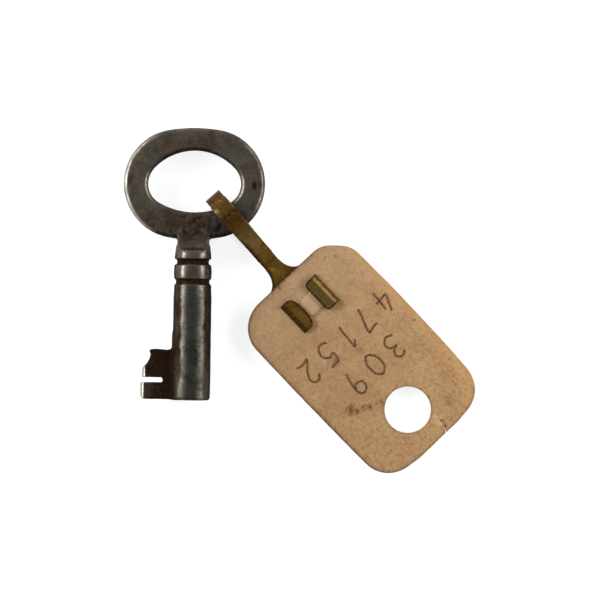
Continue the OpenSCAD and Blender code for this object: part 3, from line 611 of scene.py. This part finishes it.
def makeClip(form, material):
    strap, lowZ = strapPath(form)
    total = strap[0][-1]
    turn = form["tagTurn"] - form["turn"]
    flare = form["plateHalf"] - form["strapHalf"]
    plateStart = form["strapLength"] + form["plateInset"]
    flareStart = plateStart - form["flareRun"]
    plan = bentPath((0, 0), math.radians(form["turn"]),
                    [(flareStart, 0), (form["flareRun"], turn), (form["plateLength"] + 1, 0)])
    atPlate = lookUp(plan, form["strapLength"])
    plan[1] += form["plate"][0] - atPlate[0]
    plan[2] += form["plate"][1] - atPlate[1]
    rightPath = earPath(form, *form["rightEar"], lowZ)
    leftPath = earPath(form, *form["leftEar"], lowZ)
    coreHalf = form["plateHalf"] - form["earBend"] - form["thick"]
    earLow, earHigh = (form["strapLength"] + e for e in form["ears"])
    end = form["strapLength"] + form["plateInset"] + form["plateLength"]
    toEnd = total - end                 # length along the blank, less the place along the strap
    cuts = sorted(set(np.round(np.concatenate([
        np.arange(0, total, form["step"]), [total, earLow + toEnd, earHigh + toEnd, total - 0.4, total - 0.1]]), 4)))
    rows = []
    for along in cuts:
        s = along - toEnd
        toSlit = min(abs(s - earLow), abs(s - earHigh))
        if toSlit < 1e-3:
            rows += [(along + way, earLow < s + way < earHigh) for way in (-form["slit"], form["slit"])]
        elif toSlit > 0.09:
            rows.append((along, earLow < s < earHigh))
    shares = np.concatenate([-np.ones(form["side"]), np.linspace(-1, 1, form["core"] + 1), np.ones(form["side"])])
    sides = np.concatenate([np.arange(form["side"], 0, -1), np.zeros(form["core"] + 1),
                            np.arange(1, form["side"] + 1)]) / form["side"]
    points, rim, soot_and_shade, dull = [], [], [], []
    for along, onEar in rows:
        s = along - toEnd
        x, z, _ = lookUp(strap, along)
        half = np.interp(s, *zip(*form["widths"])) if s > 0 else form["strapHalf"]
        half += 0.03 * noise.noise((along / 1.3, 7.1, 3.3)) + 0.03 * noise.noise((along / 0.5, 2.7, 9.1))
        if s > flareStart:
            rise = (min(s, plateStart) - flareStart) / form["flareRun"]
            half = form["plateHalf"] - flare * math.sqrt(max(0, 1 - rise ** 2))
        if s > end - form["plateCorner"]:
            over = s - end + form["plateCorner"]
            half = form["plateHalf"] - form["plateCorner"] + math.sqrt(max(0, form["plateCorner"] ** 2 - over ** 2))
        for share, side in zip(shares, sides):
            core = coreHalf if s > plateStart else half * coreHalf / form["plateHalf"]
            edge, dark, olive = 0.0, 0.0, 0.0
            if onEar and side:
                path = leftPath if share < 0 else rightPath
                length = path[0][-1]
                middle, span = (earLow + earHigh) / 2, (earHigh - earLow) / 2
                if share < 0:
                    length -= form["leftBulge"] * ((s - middle) / span) ** 2
                corner = max(0, abs(s - middle) - span + form["earCorner"])
                length -= form["earCorner"] - math.sqrt(max(0, form["earCorner"] ** 2 - corner ** 2))
                v, height, lean = lookUp(path, side * length)
                out = 0.45 - 0.15 * smoothStep(2.1, 2.6, lean) if share > 0 else 0.22 * smoothStep(3.3, 2.8, lean)
                v = share * (v + out * smoothStep(1.57, 2.0, lean))          # the roll bulges outwards
                # a painted highlight line along the right ear's roll
                edge = 0.36 * bell(lean, 2.7, 0.11) if share > 0 else 0.0
                olive = 0.65 * smoothStep(2.8, 3.05, lean) if share > 0 else 0.0
                # painted shade on the outer bends of the ears, which face away from the lamps
                dark = 0.95 * smoothStep(3.45, 2.85, lean) if share < 0 else 0.8 * smoothStep(2.66, 2.46, lean)
                free = min((1 - side) * length, span - abs(s - middle))       # to the ear's free edge
                dark = max(dark, smoothStep(0.65, 0.2, free))
            else:
                v = share * (core + side * (half - core))
                height = z
                near = max(0, 1 - (half - abs(v)) / 0.25)
                loop = np.interp(s, *zip(*form["loopDark"]))
                # painted highlights: a spot on the bend, a line along the strap's right edge, a lighter middle of the
                # slope and a glint near the foot
                shine = bell(s, 1.1, 0.28) * smoothStep(0.6, 1.2, -v) * (z > 0)
                edge = near * 0.8 * smoothStep(10.2, 7.5, s) * (v > 0) + shine
                edge += 0.13 * bell(s, 10.2, 2.2) * bell(v, 0, 0.8) + 0.5 * bell(s, 16.3, 0.4) * bell(v, -0.6, 0.2)
                olive = 0.5 * bell(s, 8.3, 2.2) + 0.4 * smoothStep(2.8, 2.2, s)
                side = smoothStep(0.95, 0.25, half + v) if v < 0 else 0.5 * smoothStep(0.35, 0.1, half - v)
                # painted shade towards the foot, where the strap runs under the card
                foot = 0.22 * smoothStep(13.4, 15.2, s) + 0.12 * bell(s, 15.9, 0.5) + 0.5 * smoothStep(17.4, 18.9, s)
                dark = max(side * smoothStep(6, 9, s), loop, foot) * (1 - 0.95 * shine)
            px, py, heading = lookUp(plan, max(x, 0))
            if x < 0:
                px, py = px + x * math.cos(heading), py + x * math.sin(heading)
            points.append((px - v * math.sin(heading), py + v * math.cos(heading), height))
            rim.append(edge)
            soot_and_shade.append(dark)
            dull.append(olive)
    wide = len(shares)
    faces = []
    for r in range(len(rows) - 1):
        split = rows[r][1] != rows[r + 1][1]
        for c in range(wide - 1):
            a = r * wide + c
            if not (split and (sides[c] or sides[c + 1])):
                faces.append((a, a + 1, a + wide + 1, a + wide))
    points = np.array(points)
    points[:, 2] += 0.012 * lumps(points, 2.5, 5)
    points[:, 2] = np.maximum(points[:, 2], form["tableZ"] + form["thick"] / 2 + 0.003)
    piece = makePiece("brass_clip", points, faces, material)
    setAttribute(piece, "rim", rim)
    setAttribute(piece, "soot_and_shade", soot_and_shade)
    setAttribute(piece, "dull", dull)
    thickenSheet(piece, form["thick"], form["edge"], form["bevelOver"], True)
    return piece


clip = makeClip(clipForm, brass)
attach(clip, "tag_assembly")
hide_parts("tag_clip")
print("clip made:", len(clip.data.polygons), "faces")


# The card tag, in its own place: x from its near edge, y across, both in mm

tagForm = dict(
    origin=(15.761, 21.170), turn=-45.65, length=38.1, width=23.9, shift=0.12, corner=5.5,
    bottom=-2.18, thick=0.85, hole=(30.92, -0.21, 4.0), slots=(3.11, 9.19, 3.1, 3.9),
    tear=((34.25, 2.3), (34.8, 2.7), (35.3, 2.75), (35.75, 2.6), (36.2, 2.75), (36.6, 2.55), (37.1, 2.6),
          (37.5, 2.35), (37.95, 2.1), (38.4, 1.8)),
    tearGap=((34.0, 0.01), (37.3, 0.012), (37.7, 0.05), (38.1, 0.14), (38.5, 0.2)),
    bulge=((18, 16, 0.38), (15, 18, 0.26)), farStep=0.26, nearCorner=0.2,        # the upper side, then the lower
    patch=(6.35, 0.35, 1.45, 1.4), patchRise=0.1, patchCut=0.3, patchSlope=0.2, grid=0.42, edge=0.13,
    bevelOver=60,
)


def arc(x, y, radius, start, span, count):
    angles = [math.radians(start + span * i / count) for i in range(count + 1)]
    return [(x + radius * math.cos(a), y + radius * math.sin(a)) for a in angles]


def roundedOutline(form, step=0.35):
    r, l, w = form["corner"], form["length"], form["width"] / 2
    outline = []
    for cx, cy, start in ((l - r, -w + r, -90), (l - r, w - r, 0), (r, w - r, 90), (r, -w + r, 180)):
        outline += arc(cx, cy, r, start, 90, math.ceil(r * math.pi / 2 / step))
    dense = []
    for (ax, ay), (bx, by) in zip(outline, outline[1:] + outline[:1]):
        count = max(1, round(math.hypot(bx - ax, by - ay) / step))
        dense += [(ax + (bx - ax) * i / count, ay + (by - ay) * i / count) for i in range(count)]
    dense = np.array(dense)
    flat = np.c_[dense, np.zeros(len(dense))]
    middle = dense - [l / 2, 0]
    dense += middle / np.linalg.norm(middle, axis=1)[:, None] * (0.04 * lumps(flat, 2.5, 31) - 0.03)[:, None]
    x, y = dense.T.copy()
    for side, (where, half, rise) in zip((1, -1), form["bulge"]):
        dense[:, 1] += side * smoothStep(8, 11, side * y) * rise * np.clip(1 - ((x - where) / half) ** 2, 0, 1)
    dense[:, 0] += form["farStep"] * smoothStep(36, 38, x) * smoothStep(7, 4, np.abs(y))
    corner = bell(x, 1.6, 1.8) * bell(y, 10.4, 1.8) * form["nearCorner"]
    dense += np.c_[corner, -corner]
    return [tuple(p) for p in dense + [0, form["shift"]]]


def tearOutline(form):              # the torn slit's two ragged sides
    dense = []
    for (ax, ay), (bx, by) in zip(form["tear"], form["tear"][1:]):
        dense += [(ax + (bx - ax) * i / 3, ay + (by - ay) * i / 3) for i in range(3)]
    dense.append(form["tear"][-1])
    flat = [(x, y, 0) for x, y in dense]
    jag = 0.1 * lumps(flat, 0.35, 41)
    half = np.interp([p[0] for p in dense], *zip(*form["tearGap"])) / 2
    upper = [(x, y + j + h) for (x, y), j, h in zip(dense, jag, half)]
    lower = [(x, y + j - h) for (x, y), j, h in zip(dense, jag, half)]
    return upper + lower[::-1]


def boxDistance(x, y, box, corner=0.35):        # to a box with round corners: middle and half sizes
    bx, by, hx, hy = box
    return roundedCorner(np.abs(x - bx) - hx, np.abs(y - by) - hy, corner)


def cardHeight(x, y, form):         # how far the card's face lies over its flat place
    flat = np.c_[x, y, np.zeros(len(x))]
    rise = 0.035 * lumps(flat, 9, 51) + 0.012 * lumps(flat, 2.5, 53)
    rise += form["patchRise"] * smoothStep(form["patchSlope"], 0, boxDistance(x, y, form["patch"]))
    tearY = np.interp(x, *zip(*form["tear"]))
    near = smoothStep(33.5, 36, x) * bell(y, tearY, 1.6)
    return rise + np.where(y < tearY, 0.07, -0.05) * near


def onTable(x, y, z, form):         # a place on the card, where the card lies
    turn = math.radians(form["turn"])
    ox, oy = form["origin"]
    return np.c_[ox + x * math.cos(turn) - y * math.sin(turn), oy + x * math.sin(turn) + y * math.cos(turn), z]


def makeTag(form, material):
    outline = roundedOutline(form)
    hx, hy, hr = form["hole"]
    x0, x1, y0, y1 = form["slots"]
    slots = [[(x0, s * y0), (x1, s * y0), (x1, s * y1), (x0, s * y1)] for s in (-1, 1)]
    cuts = [arc(hx, hy, hr, 0, 360, 72)[:-1], tearOutline(form)] + slots
    step = form["grid"]
    gx, gy = np.meshgrid(np.arange(0, form["length"], step), np.arange(-13, 13, step))
    gx, gy = gx.ravel(), gy.ravel()
    cell = np.c_[gx, gy, np.zeros(len(gx))]
    gx, gy = gx + 0.12 * lumps(cell, 0.31, 61), gy + 0.12 * lumps(cell, 0.31, 67)
    keep = outlineDistance(gx, gy, outline) < -0.6 * step
    for loop in cuts:
        keep &= outlineDistance(gx, gy, loop) > 0.5 * step
    px, py, pw, ph = form["patch"]
    corners = ((1, -1), (1, 1), (-1, 1), (-1, -1), (1, -1))
    rings = []                      # round the raised patch
    for grow in (0.0, form["patchSlope"]):
        reach = ((pw + grow, ph - form["patchCut"]), (pw - form["patchCut"], ph + grow))
        rings.append([(px + sx * reach[i % 2][0], py + sy * reach[i % 2][1])
                      for i in range(4) for sx, sy in corners[i:i + 2]])
    points, edges = [], []
    for loop in [outline] + cuts + rings:
        first = len(points)
        points += [Vector(p) for p in loop]
        edges += [(first + i, first + (i + 1) % len(loop)) for i in range(len(loop))]
    points += [Vector(p) for p in zip(gx[keep], gy[keep])]
    made, _, triangles, _, _, _ = delaunay_2d_cdt(points, edges, [], 0, 1e-4)
    flat = np.array([tuple(p) for p in made])
    middles = flat[np.array(triangles)].mean(1)
    kept = outlineDistance(middles[:, 0], middles[:, 1], outline) < 0
    for loop in cuts:
        kept &= outlineDistance(middles[:, 0], middles[:, 1], loop) > 0
    triangles = [tuple(t) for t, k in zip(triangles, kept) if k]
    used = sorted({i for t in triangles for i in t})
    new = {old: i for i, old in enumerate(used)}
    flat = flat[used]
    triangles = [tuple(new[i] for i in t) for t in triangles]
    x, y = flat.T
    z = form["bottom"] + form["thick"] / 2 + cardHeight(x, y, form)
    piece = makePiece("card_tag", onTable(x, y, z, form), triangles, material)
    toEdge = -outlineDistance(x, y, outline)
    toHole = np.hypot(x - hx, y - hy) - hr
    lower = 1 - 0.9 * smoothStep(5, 9.5, y) * smoothStep(36.5, 35, x)     # the upper side's edge stays clean
    edge = 0.6 * smoothStep(0.5, 0.05, toEdge) + 0.28 * np.exp(-toEdge / 0.5)
    edge = edge * lower * (1 - 0.4 * smoothStep(35, 37, x)) + 0.42 * smoothStep(0.45, 0, toHole)
    edge += 0.4 * bell(x, 8.1, 0.45) * smoothStep(1.8, 1.0, np.abs(y - py))     # the patch's shaded sides
    # painted shade between the ears' near ends
    edge += 0.12 * bell(x, 3.0, 0.7) * smoothStep(3.4, 2.4, np.abs(y))
    setAttribute(piece, "edge", edge + 0.08 * smoothStep(2, -5, y))
    setAttribute(piece, "warm", 0.22 * smoothStep(3.2, 0.3, toEdge) * smoothStep(5, 9, y) * smoothStep(1, 6, x))
    patch = smoothStep(0.15, 0, boxDistance(x, y, form["patch"]))
    tearY = np.interp(x, *zip(*form["tear"]))
    pale = 0.3 * smoothStep(34.2, 35, x) * smoothStep(37.3, 36.6, x) * smoothStep(1.5, 0.2, tearY - y) * (y < tearY)
    setAttribute(piece, "clean", np.clip(0.2 * patch + pale, 0, 1))
    uv = piece.data.uv_layers.new(name="cardPlace")
    loops = np.zeros(len(piece.data.loops), int)
    piece.data.loops.foreach_get("vertex_index", loops)
    uv.data.foreach_set("uv", (flat[loops] * mm).ravel())
    thickenSheet(piece, form["thick"], form["edge"], form["bevelOver"], False)
    return piece


tag = makeTag(tagForm, card)
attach(tag, "tag_assembly")
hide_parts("tag")
print("tag made:", len(tag.data.polygons), "faces")


# Plain pencilled numbers on the card, as curves that Geometry Nodes sweep into flat strokes

pencilForm = dict(
    width=0.4, depth=0.02, lift=0.012, wobble=0.09,     # then rows of x, y, pitch, height, weight and numbers
    rows=((14.6, 10.9, 4.4, 4.2, 0.95, "47152"), (21.4, 6.9, 4.5, 4.2, 1.3, "309")),
)

numberStrokes = {
    "0": [[(0.3, 1), (0.08, 0.8), (0.02, 0.45), (0.18, 0.08), (0.4, 0.02), (0.56, 0.3), (0.56, 0.7), (0.42, 0.95),
           (0.26, 1)]],
    "1": [[(0.15, 0.78), (0.34, 1), (0.3, 0.5), (0.28, 0)]],
    "2": [[(0.06, 0.8), (0.2, 0.98), (0.42, 0.95), (0.5, 0.72), (0.34, 0.4), (0.04, 0.03), (0.3, 0.08),
           (0.58, 0.02)]],
    "3": [[(0.08, 0.9), (0.3, 1), (0.5, 0.84), (0.4, 0.6), (0.22, 0.53), (0.46, 0.45), (0.54, 0.22), (0.32, 0),
           (0.04, 0.1)]],
    "4": [[(0.3, 1), (0.18, 0.66), (0.04, 0.36), (0.3, 0.34), (0.6, 0.38)],
          [(0.46, 0.78), (0.42, 0.4), (0.4, -0.06)]],
    "5": [[(0.14, 0.98), (0.1, 0.58), (0.34, 0.64), (0.54, 0.42), (0.48, 0.12), (0.24, 0), (0.02, 0.1)],
          [(0.14, 0.98), (0.36, 0.97), (0.56, 1)]],
    "7": [[(0.04, 0.94), (0.3, 0.96), (0.56, 0.98), (0.4, 0.5), (0.24, 0)]],
    "9": [[(0.52, 0.72), (0.34, 0.52), (0.1, 0.62), (0.12, 0.9), (0.36, 1), (0.53, 0.82), (0.48, 0.4), (0.36, 0)]],
}


def smoothStroke(points, count=9):      # a stroke drawn through its points
    p = [points[0]] + list(points) + [points[-1]]
    line = []
    for i in range(1, len(p) - 2):
        a, b, c, d = (np.array(q) for q in p[i - 1:i + 3])
        for t in np.linspace(0, 1, count, endpoint=False):
            line.append(0.5 * (2 * b + (c - a) * t + (2 * a - 5 * b + 4 * c - d) * t ** 2
                               + (3 * b - a - 3 * c + d) * t ** 3))
    return np.array(line + [np.array(points[-1])])


def strokeTree(material):
    tree = bpy.data.node_groups.new("pencil_strokes", "GeometryNodeTree")
    tree.interface.new_socket("Strokes", in_out="INPUT", socket_type="NodeSocketGeometry")
    for name in ("Width", "Depth"):
        tree.interface.new_socket(name, in_out="INPUT", socket_type="NodeSocketFloat")
    tree.interface.new_socket("Geometry", in_out="OUTPUT", socket_type="NodeSocketGeometry")
    given = addNode(tree, "NodeGroupInput").node.outputs
    line = addNode(tree, "GeometryNodeSetCurveNormal", {"Curve": given["Strokes"]}, mode="Z_UP")
    flat = addNode(tree, "GeometryNodeCurvePrimitiveQuadrilateral", {"Width": given["Width"],
                                                                     "Height": given["Depth"]})
    swept = addNode(tree, "GeometryNodeCurveToMesh", {"Curve": line, "Profile Curve": flat, "Fill Caps": True})
    real = addNode(tree, "GeometryNodeRealizeInstances", [swept])
    marked = addNode(tree, "GeometryNodeSetMaterial", {"Geometry": real, "Material": material})
    addNode(tree, "NodeGroupOutput", [marked])
    return tree


def makePencil(form, material, tagShape):
    curve = bpy.data.curves.new("pencil_lines", "CURVE")
    curve.dimensions = "3D"
    for x, y, pitch, height, weight, numbers in form["rows"]:
        for place, number in enumerate(numbers):
            for stroke in numberStrokes[number]:
                line = smoothStroke(stroke)
                across, up = y - place * pitch, x - height / 2
                spots = [(up + b * height, across - a * height, 0) for a, b in line]
                wobble = np.c_[lumps(spots, 1.3, 71), lumps(spots, 1.3, 73)] * form["wobble"]
                spline = curve.splines.new("POLY")
                spline.points.add(len(spots) - 1)
                for point, (sx, sy, _), (wx, wy), r in zip(spline.points, spots, wobble, lumps(spots, 0.5, 79)):
                    point.co = ((sx + wx) * mm, (sy + wy) * mm, 0, 1)
                    point.radius = weight * (0.95 + 0.4 * r)
    piece = bpy.data.objects.new("pencil_marks", curve)
    scene.collection.objects.link(piece)
    tree = strokeTree(material)
    sweep = piece.modifiers.new("strokes", "NODES")
    sweep.node_group = tree
    for socket in tree.interface.items_tree:
        if socket.in_out == "INPUT" and socket.name in ("Width", "Depth"):
            sweep[socket.identifier] = form[socket.name.lower()] * mm
    evaluated = piece.evaluated_get(bpy.context.evaluated_depsgraph_get())
    mesh = bpy.data.meshes.new_from_object(evaluated)
    bpy.data.objects.remove(piece)
    x, y, z = pointsOf(mesh).T
    top = tagShape["bottom"] + tagShape["thick"] + form["lift"] + cardHeight(x, y, tagShape)
    mesh.vertices.foreach_set("co", (onTable(x, y, top + z, tagShape) * mm).ravel())
    mesh.update()
    marks = bpy.data.objects.new("pencil_marks", mesh)
    scene.collection.objects.link(marks)
    return marks


pencil = makePencil(pencilForm, graphite, tagForm)
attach(pencil, "tag_assembly")
print("pencil marks made:", len(pencil.data.polygons), "faces")


# Floor, world and lamps

studio = dict(
    floorSize=6.0, floorWhite=0.35, shownWhite=0.8, sky=0.36, horizon=1.0, haze=(0.1, 0.75),
    brightWay=(0.17, 0.98, 0), dimSide=0.35, dimming=(-0.7, 0.3),      # then the lamps, sizes in m
    lamps=(("left_lamp", 165, 30, 0.5, (0.5, 0.14), 3.2), ("right_lamp", 12, 29, 0.5, (0.48, 0.12), 2.2)),
)


def makeFloor(setup):
    half = setup["floorSize"] / 2 / mm
    z = cadLow.z / mm - 0.01
    material, add = startMaterial("studio_floor")
    path = add("ShaderNodeLightPath").node.outputs
    shown = add("ShaderNodeMath", [path["Is Glossy Ray"], path["Is Transmission Ray"]], **plus)
    shown = add("ShaderNodeMath", [path["Is Camera Ray"], shown], **plus)
    glow = add("ShaderNodeMath", [shown, setup["shownWhite"]], **times)
    matt = add("ShaderNodeBsdfDiffuse", {"Color": (*[setup["floorWhite"]] * 3, 1)})
    white = add("ShaderNodeEmission", {"Color": (1, 1, 1, 1), "Strength": glow})
    add("ShaderNodeOutputMaterial", [add("ShaderNodeAddShader", [matt, white])])
    corners = [(-half, -half, z), (half, -half, z), (half, half, z), (-half, half, z)]
    floor = makePiece("floor", corners, [(0, 1, 2, 3)], material)


def makeWorld(setup):               # bright round the horizon, dimmer overhead and on the near side
    world = bpy.data.worlds.new("studio")
    scene.world = world
    world.use_nodes = True
    world.node_tree.nodes.clear()
    add = partial(addNode, world.node_tree)
    way = add("ShaderNodeTexCoord", out="Generated")
    height = add("ShaderNodeSeparateXYZ", [way], out=2)
    north = add("ShaderNodeVectorMath", [way, setup["brightWay"]], out="Value", operation="DOT_PRODUCT")
    level = add("ShaderNodeMapRange", [height, *setup["haze"], setup["horizon"], setup["sky"]])
    side = add("ShaderNodeMapRange", [north, *setup["dimming"], setup["dimSide"], 1.0])
    level = add("ShaderNodeMath", [level, side], **times)
    light = add("ShaderNodeBackground", {"Color": (1, 1, 1, 1), "Strength": level})
    add("ShaderNodeOutputWorld", [light])


def makeLamp(name, azimuth, elevation, distance, size, power, aim=(18, 18, 0)):
    data = bpy.data.lights.new(name, "AREA")
    data.shape, data.size, data.size_y, data.energy = "RECTANGLE", size[0], size[1], power
    lamp = bpy.data.objects.new(name, data)
    a, e = math.radians(azimuth), math.radians(elevation)
    back = Vector((math.cos(a) * math.cos(e), math.sin(a) * math.cos(e), math.sin(e)))
    lamp.location = Vector(aim) * mm + back * distance
    lamp.rotation_euler = back.to_track_quat("Z", "Y").to_euler()
    scene.collection.objects.link(lamp)


makeFloor(studio)
makeWorld(studio)
for lamp in studio["lamps"]:
    makeLamp(*lamp)
scene.view_settings.view_transform = "Standard"
print("studio made")
